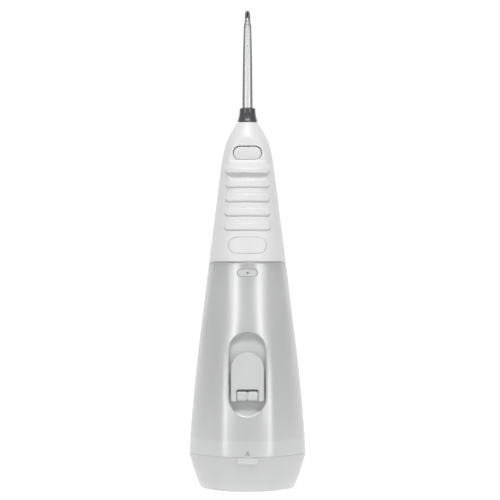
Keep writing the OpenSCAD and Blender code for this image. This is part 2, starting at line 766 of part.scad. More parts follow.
module port_recess() color(smoke_solid) rear_skin(cover_z) difference() {
  intersection() {
    skin_band(cover_z, cover_h + 2, recess_face, recess_back);
    pill_y(cover_w + 1.8, cover_h + 2, -3, 16);
  }
  intersection() {
    skin_band(cover_z, cover_h + 2, recess_face - 1, recess_floor);
    pill_y(cover_w + 0.3, cover_h + 0.3, -3, 16);
  }
  block([-4.7, 4.7], [0, 12], [-1.8, 1.8]);
  translate([0, 0, strap_rise]) block([-strap_w / 2 - 0.3, strap_w / 2 + 0.3], [0, 12],
    [-strap_thick / 2 - 0.3, strap_thick / 2 + 0.3]);
}

// Soft cover with the strap that holds it once it is pulled out
module port_cover() color(white) rear_skin(cover_z) {
  head_y = 9.3;
  intersection() {
    skin_band(cover_z, cover_h, -0.15, 1.4);
    pill_y(cover_w, cover_h, -3, 12);
  }
  translate([0, 0, strap_rise]) {
    block([-strap_w / 2, strap_w / 2], [1, head_y + 0.8], [-strap_thick / 2, strap_thick / 2]);
    block([-strap_w / 2 - 0.9, strap_w / 2 + 0.9], [head_y, head_y + 0.8],
      [-strap_thick / 2, strap_thick / 2]);
  }
}

module charge_socket() color(steel) rear_skin(cover_z) difference() {
  block([-4.5, 4.5], [3.4, 9.4], [-1.6, 1.6]);
  pill_y(8.4, 2.6, 2, 8.8);
}

reservoir_base();
base_seal();
base_tab();
foot_ring();
reservoir_body();
fill_port_frame();
door_hinge_pin();
fill_door();
door_gasket();
release_pad();
release_spring();
handle_rear_shell();
handle_front_shell();
handle_base();
neck_gasket();
chassis_plate();
motor();
motor_screws();
motor_pinion();
crank_gear();
piston();
piston_seal();
pump_cylinder();
valve_block();
valve_discs();
suction_tube();
inlet_filter();
inlet_hose();
outlet_tube();
nozzle_seat();
collar_bush();
tip_collar();
jet_tip();
tip_oring();
eject_button();
eject_latch();
eject_spring();
battery_cell();
circuit_board();
tact_switches();
power_button();
mode_button();
led_window();
port_recess();
port_cover();
charge_socket();
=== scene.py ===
"""Water flosser: smooth shells, door, buttons, springs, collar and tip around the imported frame,
with studio light."""

import json
import math

import bmesh
import bpy
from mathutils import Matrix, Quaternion, Vector


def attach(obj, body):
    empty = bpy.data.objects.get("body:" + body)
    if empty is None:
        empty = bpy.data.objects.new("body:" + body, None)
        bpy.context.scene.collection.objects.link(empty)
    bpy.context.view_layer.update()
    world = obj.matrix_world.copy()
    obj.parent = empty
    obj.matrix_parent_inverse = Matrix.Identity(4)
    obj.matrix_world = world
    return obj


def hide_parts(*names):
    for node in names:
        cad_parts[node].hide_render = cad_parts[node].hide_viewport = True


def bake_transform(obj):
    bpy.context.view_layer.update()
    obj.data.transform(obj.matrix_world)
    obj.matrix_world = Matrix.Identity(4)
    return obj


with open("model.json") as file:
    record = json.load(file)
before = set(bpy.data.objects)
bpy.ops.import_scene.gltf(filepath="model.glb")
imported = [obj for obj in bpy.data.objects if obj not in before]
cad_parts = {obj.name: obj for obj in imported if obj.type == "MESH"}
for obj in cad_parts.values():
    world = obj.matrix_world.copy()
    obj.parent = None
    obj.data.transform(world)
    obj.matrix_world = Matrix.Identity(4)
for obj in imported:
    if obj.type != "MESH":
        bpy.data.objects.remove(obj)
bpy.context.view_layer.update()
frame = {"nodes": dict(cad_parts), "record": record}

MM = 0.001

# ---------------------------------------------------------------------------------------------
# Driving dimensions, in millimetres, as in the CAD model
# ---------------------------------------------------------------------------------------------

SEAM_Z = 21.0
SEAM_HALF_GAP = 0.04
SEAM_EDGE_R = 0.15
PART_Z = 135.5
RIM_Z = 219.0
WALL = 2.0
DEPTH_SHARE = 0.88  # depth over width below DEPTH_LOW_Z, from where it grows to 1 at the rim
DEPTH_LOW_Z = 135.0
SHOULDER_R = 3.8
SHELL_SEAM_Y = 2.0
SEAM_GROOVE = 0.16
SEAM_GROOVE_HALF_W = 0.2

# Half width of the body against height, below and above the seam of the base cap
BASE_WIDTHS = [(0, 27.6), (8, 31), (SEAM_Z, 35)]
UPPER_WIDTHS = [
    (SEAM_Z, 35), (45, 33.3), (80, 29.8), (110, 26.1), (135, 23.1), (165, 19.2),
    (188, 16.4), (199, 14.7), (206, 13), (210, 11.3), (RIM_Z, 6.2),
]
# Half width of the flat on the back against height
FLAT_WIDTHS = [(0, 11.5), (45, 12.2), (80, 11.6), (110, 8.6), (135, 7), (RIM_Z, 4)]
# The section turns from one with flats into an oval between these heights
ROUND_LOW_Z, ROUND_HIGH_Z = 95.0, 165.0
EDGE_SOFT = 0.2
CORNER_POWER = 6

# Back of the handle
FACET_Y, FACET_CROWN = 11.3, 0.012
STOP_LOW_Z = 188.2
STOP_HALF_W = 12.7
STOP_STAND = 1.45
STOP_CORNER_R = 2.8
STOP_LIP_Y = 16.65
STOP_SLOPE_Z, STOP_TOP_Z = 190.2, 196.5
RELIEF_LOW_Z, RELIEF_HIGH_Z = 150.0, 196.0  # ribs, stop and scoop lie between these heights
SCOOP_HALF_W, SCOOP_H, SCOOP_DEPTH = 12.4, 6.0, 1.7
RIB_COUNT = 4
RIB_PITCH = 8.45
RIB_HALF_W, RIB_WIDEN = 12.85, 0.3  # of the top rib, and what each rib below it gains
RIB_HALF_H = 2.25
RIB_STAND, RIB_LEAN = 0.9, 0.05
RIB_GROOVE = 0.32
FIRST_RIB_Z = 182.05
EJECT_W, EJECT_H, EJECT_Z = 16.5, 7.6, 200.1
COVER_W, COVER_H, COVER_Z = 22.5, 9.6, 145.3
COLLAR_R = 5.05
BUSH_R = 6.0
BUSH_TOP_Z = 216.6
BORE_LOW_Z = 205.0

# Back of the reservoir
RELEASE_W, RELEASE_H, RELEASE_Z = 12.0, 4.2, 129.0
POCKET_W, POCKET_H, POCKET_Z = 22.2, 49.9, 69.45
TUB_RIM, TUB_FACE, TUB_FLOOR, TUB_DEEP = 1.2, 2.35, 4.8, 6.9
DOOR_HALF_W, DOOR_LOW, DOOR_HIGH = 9.65, -15.85, 12.95
DOOR_FACE, DOOR_BACK = 0.9, 3.0
HINGE_RISE, HINGE_DEPTH = -12.5, 2.6
SLOT_HALF_W, SLOT_HIGH = 6.45, -8.85
FILL_W, FILL_H, FILL_RISE = 12.0, 15.0, 2.0
# Ends of a hinge lug as (shrink of its section, x), and of the web between the two lugs
LUG_ENDS = ((0.35, 0.5), (0.0, 0.8), (0.0, 5.8), (0.35, 6.1))
WEB_ENDS = ((0.5, -0.8), (0.5, 0.8))

# Front of the handle: height and face depth of each button
FRONT_BUTTONS = {"power": (166.0, 17.9), "mode": (151.0, 19.1)}
BUTTON_R, BUTTON_BACK_Y = 4.5, 16.0
LED_Z, LED_R, LED_PITCH = 158.6, 0.8, 3.2
GROOVE_HALF_W, GROOVE_DEEP = 0.17, 0.35  # of the marks on the buttons

# Tip
STEM_R = 3.1
TIP_TOP = 287.0
NOZZLE_R = 1.45
NECK_R = 1.88
BEND_R = 7.4
TIP_BORE_R = 0.45
TAIL_Z = 189.5

# Mesh
ARC = 10  # points on each quarter circle of an outline
WELD_MM = 0.004  # points closer than this become one
SHARP_DEG = 35  # edges that turn by more stay sharp
EDGE_STEPS = 4  # facets of a rounded edge
# Spacing of the points round the reservoir and the cap, as columns() takes it
BODY_COLUMNS = [(60, 2.0), (80, 2.5), (100, 1.25), (180, 2.5)]


# ---------------------------------------------------------------------------------------------
# Form of the body
# ---------------------------------------------------------------------------------------------

def ease(t):
    """Smooth step from 0 to 1."""
    t = max(0.0, min(1.0, t))
    return t * t * (3 - 2 * t)


def spline(t, knots):
    """Smooth curve through (position, value) pairs."""
    last = len(knots) - 1
    i = 0
    while i < last - 1 and t >= knots[i + 1][0]:
        i += 1

    def rise(k):
        a, b = knots[max(k - 1, 0)], knots[min(k + 1, last)]
        return (b[1] - a[1]) / (b[0] - a[0])

    h = knots[i + 1][0] - knots[i][0]
    u = (t - knots[i][0]) / h
    start = (2 * u ** 3 - 3 * u * u + 1) * knots[i][1] + (u ** 3 - 2 * u * u + u) * h * rise(i)
    end = (3 * u * u - 2 * u ** 3) * knots[i + 1][1] + (u ** 3 - u * u) * h * rise(i + 1)
    return start + end


def half_width(z):
    return spline(z, BASE_WIDTHS if z < SEAM_Z else UPPER_WIDTHS)


def half_depth(z):
    grow = max(0.0, min(1.0, (z - DEPTH_LOW_Z) / (RIM_Z - DEPTH_LOW_Z)))
    return half_width(z) * (DEPTH_SHARE + (1 - DEPTH_SHARE) * grow)


def skin(phi, z, inset=0.0):
    """Point of the body's outline at height z. phi is 0 at the back (-Y) and 90 degrees at +X."""
    full = half_width(z)
    w, d = full - inset, half_depth(z) - inset
    f = spline(z, FLAT_WIDTHS) * w / full
    c, s = abs(math.sin(phi)), abs(math.cos(phi))
    side = c / w + (1 - f / w) / d * (math.hypot(s, EDGE_SOFT * c) - EDGE_SOFT * c)
    angular = ((s / d) ** CORNER_POWER + side ** CORNER_POWER) ** (-1 / CORNER_POWER)
    oval = 1 / math.hypot(c / w, s / d)
    r = angular + (oval - angular) * ease((z - ROUND_LOW_Z) / (ROUND_HIGH_Z - ROUND_LOW_Z))
    return r * math.sin(phi), -r * math.cos(phi)


def skin_depth(x, z):
    """Distance of the skin from the XZ plane at a given x, found by halving the angle."""
    low, high = 0.0, math.pi / 2
    for _ in range(26):
        mid = (low + high) / 2
        if skin(mid, z)[0] < abs(x):
            low = mid
        else:
            high = mid
    return -skin(low, z)[1]


def soft_min(a, b, k):
    """Smaller of a and b, rounded over where they differ by less than k."""
    h = max(0.0, min(1.0, 0.5 + 0.5 * (b - a) / k))
    return b + (a - b) * h - k * h * (1 - h)


def pill_distance(x, z, half_w, half_h):
    """Distance outside a bar with round ends, negative inside."""
    return math.hypot(max(abs(x) - (half_w - half_h), 0.0), z) - half_h


def rear_lean(z):
    """Angle of the back at height z, taken over 20 mm to each side."""
    reach = 20
    return math.atan((skin_depth(0, z - reach) - skin_depth(0, z + reach)) / (2 * reach))


def rear_frame(z):
    """Maps (x, depth, rise) on the plane that touches the back at height z to the row frame."""
    lean, depth = rear_lean(z), skin_depth(0, z)

    def place(x, inward, rise):
        return (
            x,
            -depth + inward * math.cos(lean) + rise * math.sin(lean),
            z - inward * math.sin(lean) + rise * math.cos(lean),
        )

    return place


# ---------------------------------------------------------------------------------------------
# Mesh tools
# ---------------------------------------------------------------------------------------------

def make_object(name, points, faces):
    """Object from points in millimetres, with its faces turned outwards."""
    mesh = bpy.data.meshes.new(name)
    mesh.from_pydata([tuple(c * MM for c in p) for p in points], [], faces)
    obj = bpy.data.objects.new(name, mesh)
    bpy.context.scene.collection.objects.link(obj)
    bm = bmesh.new()
    bm.from_mesh(mesh)
    bmesh.ops.recalc_face_normals(bm, faces=bm.faces)
    bm.to_mesh(mesh)
    bm.free()
    return obj


def circle(count):
    """Cosine and sine of equal steps all the way round."""
    turns = [2 * math.pi * i / count for i in range(count)]
    return [(math.cos(a), math.sin(a)) for a in turns]


def ring_faces(count, size, loop):
    """Faces between neighbouring rings of size points."""
    faces = []
    for i in range(count if loop else count - 1):
        here, above = i * size, (i + 1) % count * size
        for j in range(size):
            k = (j + 1) % size
            faces.append((here + j, here + k, above + k, above + j))
    return faces


def from_rings(name, rings, loop=False, zipped=False):
    """Solid through rings of points. A loop closes on itself; otherwise both ends are capped.
    zipped caps join opposite sides of a rounded rectangle, so that they may be curved."""
    size = len(rings[0])
    points = [p for ring in rings for p in ring]
    faces = ring_faces(len(rings), size, loop)
    if not loop:
        for base in (0, (len(rings) - 1) * size):
            if zipped:
                faces += zip_cap(base, size // 4)
            else:
                faces.append(tuple(range(base, base + size)))
    return make_object(name, points, faces)


def zip_cap(base, n):
    """Strips across a ring of 4 n points that starts at base."""
    pairs = [(n - 1 - k, n + k) for k in range(n)] + [(4 * n - 1 - k, 2 * n + k) for k in range(n)]
    return [
        (base + a[0], base + b[0], base + b[1], base + a[1])
        for a, b in zip(pairs, pairs[1:])
    ]


def rounded_rect(half_w, low, high, r_low, r_high, grow, arc=ARC, straight=0):
    """Outline with round corners in (x, rise), counter-clockwise from the bottom, grown outwards.
    straight adds points along each half of the top and bottom edges."""
    w, lo, hi = half_w + grow, low - grow, high + grow
    corners = [(1, r_low, lo), (1, r_high, hi), (-1, r_high, hi), (-1, r_low, lo)]
    points = []
    for quarter, (side, r, z) in enumerate(corners):
        radius = max(min(r + grow, w, (hi - lo) / 2), 0.04)
        cx, cz = max(w - radius, 0.0), z + radius if quarter in (0, 3) else z - radius
        turn = []
        for i in range(arc):
            a = math.radians(90 * quarter - 90 + 90 * i / (arc - 1))
            turn.append((side * cx + radius * math.cos(a), cz + radius * math.sin(a)))
        edge = [(side * cx * (i + 0.5) / straight, z) for i in range(straight)]
        points += edge + turn if quarter in (0, 2) else turn + edge[::-1]
    return points


def pill_outline(half_w, half_h, grow):
    """Outline with round ends, in the order of rounded_rect()."""
    r = min(half_w, half_h)
    return rounded_rect(half_w, -half_h, half_h, r, r, grow, straight=8 if half_w > half_h else 0)


def edge_profile(top, bottom, radius, steps=EDGE_STEPS):
    """(grow, depth) pairs round a face edge: from the face at depth top down the side to bottom."""
    turn = [math.radians(90 * i / steps) for i in range(steps + 1)]
    edge = [(radius * (math.sin(a) - 1), top + radius * (1 - math.cos(a))) for a in turn]
    return edge + [(0.0, bottom)]


def fillet(radius, steps=EDGE_STEPS):
    """(inset, drop) pairs round an outer edge, from the side to the flat, where drop is 0."""
    turn = [math.radians(90 * i / steps) for i in range(steps + 1)]
    return [(radius * (1 - math.cos(a)), radius * (1 - math.sin(a))) for a in turn]


def hole_profile(depth, radius):
    """(grow, depth) pairs of a cutter that starts 3 mm outside and leaves a rounded edge."""
    turn = [math.radians(90 * i / EDGE_STEPS) for i in range(EDGE_STEPS + 1)]
    mouth = [(radius * (1 - math.sin(a)), radius * (1 - math.cos(a))) for a in turn]
    return [(radius, -3.0)] + mouth + [(0.0, depth)]


def cut(obj, cutter):
    """Take the cutter away from obj, and remove it."""
    mod = obj.modifiers.new("cut", "BOOLEAN")
    mod.operation = "DIFFERENCE"
    mod.solver = "MANIFOLD"
    mod.object = cutter
    graph = bpy.context.evaluated_depsgraph_get()
    graph.update()
    mesh = bpy.data.meshes.new_from_object(obj.evaluated_get(graph))
    obj.modifiers.clear()
    old = obj.data
    obj.data = mesh
    bpy.data.meshes.remove(old)
    bpy.data.objects.remove(cutter)


def join(name, *objects):
    """One object that holds the meshes of several."""
    bm = bmesh.new()
    for o in objects:
        bm.from_mesh(o.data)
    mesh = bpy.data.meshes.new(name)
    bm.to_mesh(mesh)
    bm.free()
    for o in objects:
        bpy.data.objects.remove(o)
    obj = bpy.data.objects.new(name, mesh)
    bpy.context.scene.collection.objects.link(obj)
    return obj


def box_solid(x, y, z):
    corners = [(i, j, k) for k in z for j in y for i in x]
    faces = [(0, 1, 3, 2), (4, 5, 7, 6), (0, 1, 5, 4), (2, 3, 7, 6), (0, 2, 6, 4), (1, 3, 7, 5)]
    return make_object("box", corners, faces)


def dress(obj, body, material, node):
    """Welds, smooth shading, material and body of a finished piece, and hides the CAD node that it
    stands for."""
    bm = bmesh.new()
    bm.from_mesh(obj.data)
    bmesh.ops.remove_doubles(bm, verts=bm.verts, dist=WELD_MM * MM)
    bm.to_mesh(obj.data)
    bm.free()
    obj.data.shade_smooth()
    obj.data.set_sharp_from_angle(angle=math.radians(SHARP_DEG))
    obj.data.materials.clear()
    obj.data.materials.append(material)
    if body:
        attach(obj, body)
    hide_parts(node)
    return obj


def columns(steps):
    """Angles all round the body: steps are (end angle, spacing) on each side of the back."""
    half, at = [0.0], 0.0
    for end, step in steps:
        n = round((end - at) / step)
        half += [at + (end - at) * (i + 1) / n for i in range(n)]
        at = end
    full = [-a for a in reversed(half[1:-1])] + half
    return [math.radians(a) for a in full]


def levels(*runs):
    """Heights: runs are (start, end, spacing)."""
    out = []
    for start, end, step in runs:
        n = max(1, round((end - start) / step))
        out += [start + (end - start) * i / n for i in range(n)]
    return out + [runs[-1][1]]


# ---------------------------------------------------------------------------------------------
# Materials
# ---------------------------------------------------------------------------------------------

def new_material(name):
    mat = bpy.data.materials.new(name)
    mat.use_nodes = True
    tree = mat.node_tree
    return mat, tree, tree.nodes["Principled BSDF"]


def noise(tree, scale, detail=3.0, stretch=(1, 1, 1)):
    """Noise in object space, with scale in cycles per metre."""
    coords = tree.nodes.new("ShaderNodeTexCoord")
    mapping = tree.nodes.new("ShaderNodeMapping")
    mapping.inputs["Scale"].default_value = stretch
    tex = tree.nodes.new("ShaderNodeTexNoise")
    tex.inputs["Scale"].default_value = scale
    tex.inputs["Detail"].default_value = detail
    tex.inputs["Roughness"].default_value = 0.5
    tree.links.new(coords.outputs["Object"], mapping.inputs["Vector"])
    tree.links.new(mapping.outputs["Vector"], tex.inputs["Vector"])
    return tex.outputs["Fac"]


def vary_color(tree, shader, fac, dark, light):
    ramp = tree.nodes.new("ShaderNodeValToRGB")
    ramp.color_ramp.elements[0].position = 0.3
    ramp.color_ramp.elements[0].color = (*dark, 1)
    ramp.color_ramp.elements[1].position = 0.7
    ramp.color_ramp.elements[1].color = (*light, 1)
    tree.links.new(fac, ramp.inputs["Fac"])
    tree.links.new(ramp.outputs["Color"], shader.inputs["Base Color"])


def vary_roughness(tree, shader, fac, low, high):
    span = tree.nodes.new("ShaderNodeMapRange")
    span.inputs["To Min"].default_value = low
    span.inputs["To Max"].default_value = high
    tree.links.new(fac, span.inputs["Value"])
    tree.links.new(span.outputs["Result"], shader.inputs["Roughness"])


def add_bump(tree, shader, fac, strength, distance_mm):
    bump = tree.nodes.new("ShaderNodeBump")
    bump.inputs["Strength"].default_value = strength
    bump.inputs["Distance"].default_value = distance_mm * MM
    tree.links.new(fac, bump.inputs["Height"])
    tree.links.new(bump.outputs["Normal"], shader.inputs["Normal"])


def moulded(name, color, rough, spread=0.02, grain_mm=0.4, bump=0.15, **sockets):
    """Injection-moulded plastic: faint flow marks in colour and gloss, and a fine skin texture."""
    mat, tree, shader = new_material(name)
    light = tuple(min(1.0, c * (1 + spread)) for c in color)
    dark = tuple(c * (1 - spread) for c in color)
    vary_color(tree, shader, noise(tree, 60, stretch=(1, 1, 0.35)), dark, light)
    vary_roughness(tree, shader, noise(tree, 180, detail=2), *rough)
    add_bump(tree, shader, noise(tree, 1000 / grain_mm, detail=1), bump, 0.01)
    for socket, value in sockets.items():
        shader.inputs[socket.replace("_", " ")].default_value = value
    return mat


def shade_by_height(mat, stops):
    """Multiply the colour by factors at heights in mm: painted shade and painted light on a frosted
    wall.
    """
    tree = mat.node_tree
    shader = tree.nodes["Principled BSDF"]
    old = shader.inputs["Base Color"].links[0].from_socket
    place = tree.nodes.new("ShaderNodeTexCoord")
    split = tree.nodes.new("ShaderNodeSeparateXYZ")
    scale = tree.nodes.new("ShaderNodeMapRange")
    ramp = tree.nodes.new("ShaderNodeValToRGB")
    blend = tree.nodes.new("ShaderNodeMix")
    blend.data_type, blend.blend_type = "RGBA", "MULTIPLY"
    blend.inputs["Factor"].default_value = 1.0
    low, high = stops[0][0], stops[-1][0]
    scale.inputs["From Min"].default_value = low * MM
    scale.inputs["From Max"].default_value = high * MM
    points = ramp.color_ramp.elements
    while len(points) < len(stops):
        points.new(0.5)
    top = max(f for z, f in stops)
    for point, (z, f) in zip(points, stops):
        point.position = (z - low) / (high - low)
        point.color = (f / top, f / top, f / top, 1)
    tree.links.new(place.outputs["Object"], split.inputs[0])
    tree.links.new(split.outputs["Z"], scale.inputs["Value"])
    tree.links.new(scale.outputs["Result"], ramp.inputs["Fac"])
    tree.links.new(old, blend.inputs["A"])
    tree.links.new(ramp.outputs["Color"], blend.inputs["B"])
    tree.links.new(blend.outputs["Result"], shader.inputs["Base Color"])


def paint_edge_shade(mat, center, edge):
    """Painted shade on clear plastic: its colour darkens where the wall is seen edge on."""
    tree = mat.node_tree
    facing = tree.nodes.new("ShaderNodeLayerWeight")
    facing.inputs["Blend"].default_value = 0.5
    ramp = tree.nodes.new("ShaderNodeValToRGB")
    for point, position, color in zip(ramp.color_ramp.elements, (0.07, 0.16), (center, edge)):
        point.position = position
        point.color = (*color, 1)
    tree.links.new(facing.outputs["Facing"], ramp.inputs["Fac"])
    tree.links.new(ramp.outputs["Color"], tree.nodes["Principled BSDF"].inputs["Base Color"])


def metal(name, color):
    """Drawn metal with fine streaks in colour and gloss."""
    mat, tree, shader = new_material(name)
    fac = noise(tree, 500, detail=2, stretch=(1, 1, 12))
    vary_color(tree, shader, fac, tuple(c * 0.9 for c in color), color)
    vary_roughness(tree, shader, fac, 0.2, 0.35)
    add_bump(tree, shader, fac, 0.1, 0.01)
    shader.inputs["Metallic"].default_value = 1.0
    return mat


SATIN = (0.36, 0.44)
WHITE = moulded("white_plastic", (0.76, 0.76, 0.76), spread=0.006, rough=SATIN, bump=0.08,
                Coat_Weight=0.04, Coat_Roughness=0.3)
FROSTED = moulded("frosted_plastic", (0.80, 0.805, 0.81), spread=0.01, rough=SATIN, grain_mm=0.3,
                  bump=0.12, Transmission_Weight=0.35, IOR=1.45, Coat_Weight=1.0,
                  Coat_Roughness=0.26, Coat_IOR=2.3)
# Painted shade and light by height: base cap a little darker, a painted lighter band where its
# collar stands behind the wall, the wall, and painted shade darkening the top under the handle
shade_by_height(FROSTED, ((0, 0.79), (20.9, 0.8), (21.3, 0.95), (29.6, 0.95), (31.0, 0.88),
                          (80, 0.9), (118, 0.94), (130, 0.9), (136, 0.78)))
DOOR_PLASTIC = moulded("door_plastic", (0.76, 0.765, 0.77), spread=0.01, rough=SATIN, grain_mm=0.3,
                       bump=0.12, Transmission_Weight=0.25, IOR=1.45, Coat_Weight=0.4,
                       Coat_Roughness=0.25)
INNER = moulded("inner_plastic", (0.60, 0.61, 0.62), rough=(0.4, 0.55))
DARK = moulded("dark_plastic", (0.07, 0.071, 0.074), rough=(0.24, 0.3), bump=0.02, Coat_Weight=0.6,
               Coat_Roughness=0.15)
CLEAR = moulded("clear_plastic", (0.93, 0.95, 0.96), spread=0.004, rough=(0.0, 0.015), grain_mm=4.0,
                bump=0.0, Transmission_Weight=1.0, IOR=1.49)
# Painted shade: the clear tip's colour turns dark towards its edges, by the angle it is seen at
paint_edge_shade(CLEAR, (0.97, 0.98, 0.98), (0.16, 0.163, 0.167))
SEAL = moulded("seal_rubber", (0.55, 0.56, 0.57), spread=0.04, rough=(0.6, 0.75), grain_mm=0.25,
               bump=0.3)
STEEL = metal("steel", (0.62, 0.63, 0.65))
BRASS = metal("brass", (0.62, 0.45, 0.16))
CELL = moulded("cell_wrap", (0.06, 0.16, 0.36), spread=0.08, rough=(0.2, 0.3))
BOARD = moulded("board", (0.02, 0.13, 0.05), spread=0.15, rough=(0.3, 0.5), grain_mm=0.6)

SLOT_MATERIALS = {
    "white_plastic": WHITE, "frosted_plastic": FROSTED, "inner_plastic": INNER,
    "dark_plastic": DARK, "clear_plastic": CLEAR, "seal_rubber": SEAL, "steel": STEEL,
    "brass": BRASS, "cell_wrap": CELL, "board": BOARD,
}


def finish_cad_nodes():
    """Materials and small edge bevels for the CAD nodes that stay as they are."""
    for part in frame["record"]["subparts"]:
        obj = frame["nodes"][part["node"]]
        obj.data.materials.clear()
        obj.data.materials.append(SLOT_MATERIALS[part["material_slot"]])
        if not obj.hide_render:
            bevel = obj.modifiers.new("edges", "BEVEL")
            bevel.width = 0.12 * MM
            bevel.segments = 2
            bevel.limit_method = "ANGLE"
            bevel.angle_limit = math.radians(40)


# ---------------------------------------------------------------------------------------------
# Handle
# ---------------------------------------------------------------------------------------------

def parting_height(x):
    """Height of the parting line at x: straight across, with rounded shoulders at the sides."""
    side = half_width(PART_Z - SHOULDER_R)
    over = min(abs(x) - (side - SHOULDER_R), SHOULDER_R)
    if over <= 0:
        return PART_Z
    return PART_Z - SHOULDER_R + math.sqrt(SHOULDER_R ** 2 - over ** 2)


def parting_on(phi):
    """Height where the skin at phi meets the parting line, closed in on step by step."""
    z = PART_Z
    for _ in range(12):
        z = 0.5 * z + 0.5 * parting_height(skin(phi, z)[0])
    return z


def bar_height(inside, edge):
    """Height of a raised bar from 0 to 1, with a rounded edge, at a distance inside its outline."""
    if inside <= 0:
        return 0.0
    return math.sqrt(1 - (1 - min(inside / edge, 1.0)) ** 2)


def rib_relief(x, z):
    """Stand of the ribs over the skin, with a fine groove round each, fainter along its top."""
    out = 0.0
    for i in range(RIB_COUNT):
        up = z - (FIRST_RIB_Z - i * RIB_PITCH)
        inside = -pill_distance(x, up, RIB_HALF_W + RIB_WIDEN * i, RIB_HALF_H)
        if inside < 0:
            fade = 1 - 0.8 * ease((up - 0.9) / 1.3)
            out -= RIB_GROOVE * math.exp(-(((inside + 0.25) / 0.2) ** 2)) * fade
        else:
            out = (RIB_STAND - RIB_LEAN * up) * bar_height(inside, 0.85)
    return out


def stop_relief(x, z):
    """Stand of the finger stop over the skin: a crisp lip below that fades out upwards."""
    up = z - STOP_LOW_Z
    corner = STOP_CORNER_R
    inside = -math.hypot(max(abs(x) - (STOP_HALF_W - corner), 0.0), max(corner - up, 0.0)) + corner
    return STOP_STAND * bar_height(min(inside, up), 0.5) * (1 - ease((up - 2.6) / 3.2))


def facet_depth(x):
    """Depth of the gently crowned flat behind the eject button."""
    return FACET_Y - FACET_CROWN * x * x


def stop_slope(z):
    """Depth of the slope that runs from the flat behind the button out to the lip."""
    done = ease((z - STOP_SLOPE_Z) / (STOP_TOP_Z - STOP_SLOPE_Z)) ** 0.85
    return STOP_LIP_Y - (STOP_LIP_Y - FACET_Y) * done


def scoop_relief(x, z):
    """Shallow scoop for the fingertip under the lip."""
    e = (x / SCOOP_HALF_W) ** 2 + ((STOP_LOW_Z - z) / SCOOP_H) ** 2
    return SCOOP_DEPTH * math.sqrt(1 - e) if e < 1 and z <= STOP_LOW_Z else 0.0


def handle_skin(phi, z):
    """Point of the handle's outside, with ribs, stop, scoop, flat and the groove of the seam."""
    x, y = skin(phi, z)
    inset = SEAM_GROOVE * math.exp(-(((y - SHELL_SEAM_Y) / SEAM_GROOVE_HALF_W) ** 2))
    if y < 0 and RELIEF_LOW_Z < z < RELIEF_HIGH_Z:
        rib = rib_relief(x, z)
        inset += (scoop_relief(x, z) if rib <= 0 else 0.0) - rib - stop_relief(x, z)
    x, y = skin(phi, z, inset)
    if y < 0 and z > STOP_LOW_Z:
        y = -soft_min(-y, max(stop_slope(z) - FACET_Y, 0.0) + facet_depth(x), 0.9)
    return x, y


def handle_levels():
    """Heights of the rows, with extra ones along the edges of the ribs and the stop."""
    rows = levels((RELIEF_LOW_Z, 213, 0.5), (213, 218.4, 0.6))
    near_edge = (-0.42, -0.3, -0.2, -0.1, 0.0, 0.04, 0.14, 0.32, 0.6)
    near_lip = (-0.3, -0.1, -0.03, 0.0, 0.02, 0.07, 0.17, 0.32, 0.6, 0.9)
    least_gap = 0.015
    for i in range(RIB_COUNT):
        z = FIRST_RIB_Z - i * RIB_PITCH
        for side in (-1, 1):
            rows += [z + side * (RIB_HALF_H - d) for d in near_edge]
    rows += [STOP_LOW_Z + d for d in near_lip]
    rows.sort()
    return [z for k, z in enumerate(rows) if k == 0 or z - rows[k - 1] > least_gap]


def handle_body():
    """Hollow handle in one piece, before it is cut into its two shells."""
    cols = columns([(34, 1.7), (60, 0.65), (80, 2.5), (104, 1.0), (180, 2.5)])
    low = [parting_on(phi) for phi in cols]
    edge_r, edge_steps = 0.8, 6

    def shifted(z, i):
        return z + (low[i] - PART_Z) * ease((RELIEF_LOW_Z - z) / (RELIEF_LOW_Z - PART_Z))

    rings = []
    for k in range(edge_steps):
        a = math.radians(90 * (1 - k / edge_steps))
        lift, inset = edge_r * (1 - math.sin(a)), edge_r * (1 - math.cos(a))
        rings.append([(*skin(phi, z + lift, inset), z + lift) for phi, z in zip(cols, low)])
    for z in levels((PART_Z + edge_r, RELIEF_LOW_Z, 1.3))[:-1] + handle_levels():
        heights = [shifted(z, i) for i in range(len(cols))]
        rings.append([(*handle_skin(phi, at), at) for phi, at in zip(cols, heights)])
    for inset, z in ((0.08, 218.7), (0.3, 218.93), (0.55, RIM_Z)):
        rings.append([(*skin(phi, z, inset), z) for phi in cols])
    neck_r, bore_r = 5.3, BUSH_R + 0.05
    neck = [(neck_r + 0.15, RIM_Z), (neck_r, RIM_Z - 0.2), (neck_r, BUSH_TOP_Z)]
    for r, z in neck + [(bore_r, BUSH_TOP_Z), (bore_r, BORE_LOW_Z)]:
        rings.append([(r * math.sin(phi), -r * math.cos(phi), z) for phi in cols])
    for z in reversed(levels((PART_Z, 186, 3.6), (186, BORE_LOW_Z, 1.5))):
        ring = []
        for i, phi in enumerate(cols):
            at = shifted(z, i)
            across = 1 - ease((abs(phi) - 0.6) / 0.5)
            behind_scoop = 1.4 * math.exp(-(((at - 186.5) / 4) ** 2)) * across
            x, y = skin(phi, at, WALL + behind_scoop)
            if z > STOP_LOW_Z:
                y = max(y, -(FACET_Y - WALL + 0.2))
            ring.append((x, y, at))
        rings.append(ring)
    return from_rings("handle", rings, loop=True)


def skin_cutter(half_w, half_h, z0, depth, radius, surface=skin_depth):
    """Cutter for an opening in the back, with a rounded mouth that follows the surface."""
    rings = []
    for grow, inward in hole_profile(depth, radius):
        rings.append([
            (x, -surface(x, z0 + rise) + inward, z0 + rise)
            for x, rise in pill_outline(half_w, half_h, grow)
        ])
    return from_rings("cutter", rings, zipped=True)


def front_cutter(x0, z0, r, depth, radius):
    """Round cutter for the front of the handle, with a rounded mouth."""
    rings = []
    for grow, inward in hole_profile(depth, radius):
        ring = []
        for c, s in circle(48):
            x, z = x0 + (r + grow) * c, z0 + (r + grow) * s
            ring.append((x, skin_depth(x, z) - inward, z))
        rings.append(ring)
    return from_rings("cutter", rings)


